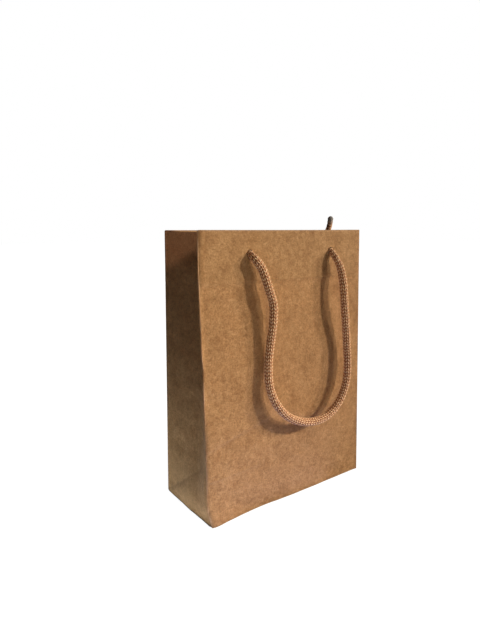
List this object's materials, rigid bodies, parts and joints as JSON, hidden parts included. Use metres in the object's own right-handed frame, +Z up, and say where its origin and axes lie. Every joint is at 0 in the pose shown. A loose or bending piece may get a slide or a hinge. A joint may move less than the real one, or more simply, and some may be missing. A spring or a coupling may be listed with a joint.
{
  "type": "gift bag",
  "caption": "Small plain brown kraft paper gift bag, standing open, with knitted cord handles hanging down outside and knotted inside.",
  "frame": {"origin": "centre of the base, on the surface the bag stands on", "axes": "+X to the bag's right seen from the front, the front panel faces -Y, +Z up towards the mouth"},
  "size_m": [0.147, 0.079, 0.2096],
  "materials": {
    "kraft_paper": "matte uncoated kraft paper with fine fibre flecks",
    "kraft_paper_inside": "matte uncoated kraft paper",
    "greyboard_card": "matte grey card",
    "kraft_board": "matte brown card",
    "knitted_cord": "soft knitted tube, tan stitches with dark gaps"
  },
  "bodies": {
    "bag": {"front_panel": "kraft_paper", "back_panel": "kraft_paper", "left_gusset": "kraft_paper", "right_gusset": "kraft_paper", "base_front_flap": "kraft_paper", "base_rear_flap": "kraft_paper", "base_left_tuck": "kraft_paper_inside", "base_right_tuck": "kraft_paper_inside", "side_seam_flap": "kraft_paper_inside", "front_turned_in_hem": "kraft_paper_inside", "back_turned_in_hem": "kraft_paper_inside", "left_turned_in_hem": "kraft_paper_inside", "right_turned_in_hem": "kraft_paper_inside", "front_reinforcement_card": "greyboard_card", "back_reinforcement_card": "greyboard_card", "bottom_board": "kraft_board", "front_handle_left_knot": "knitted_cord", "front_handle_right_knot": "knitted_cord", "rear_handle_left_knot": "knitted_cord", "rear_handle_right_knot": "knitted_cord"},
    "front_handle": {"front_handle": "knitted_cord"},
    "rear_handle": {"rear_handle": "knitted_cord"}
  },
  "joints": [
    {"name": "front_handle_swing", "type": "hinge", "parent": "bag", "child": "front_handle", "pos_m": [0, -0.02906, 0.184], "axis": [-1, 0, 0], "range_deg": [0, 170]},
    {"name": "rear_handle_swing", "type": "hinge", "parent": "bag", "child": "rear_handle", "pos_m": [0, 0.02906, 0.184], "axis": [1, 0, 0], "range_deg": [0, 170]}
  ]
}
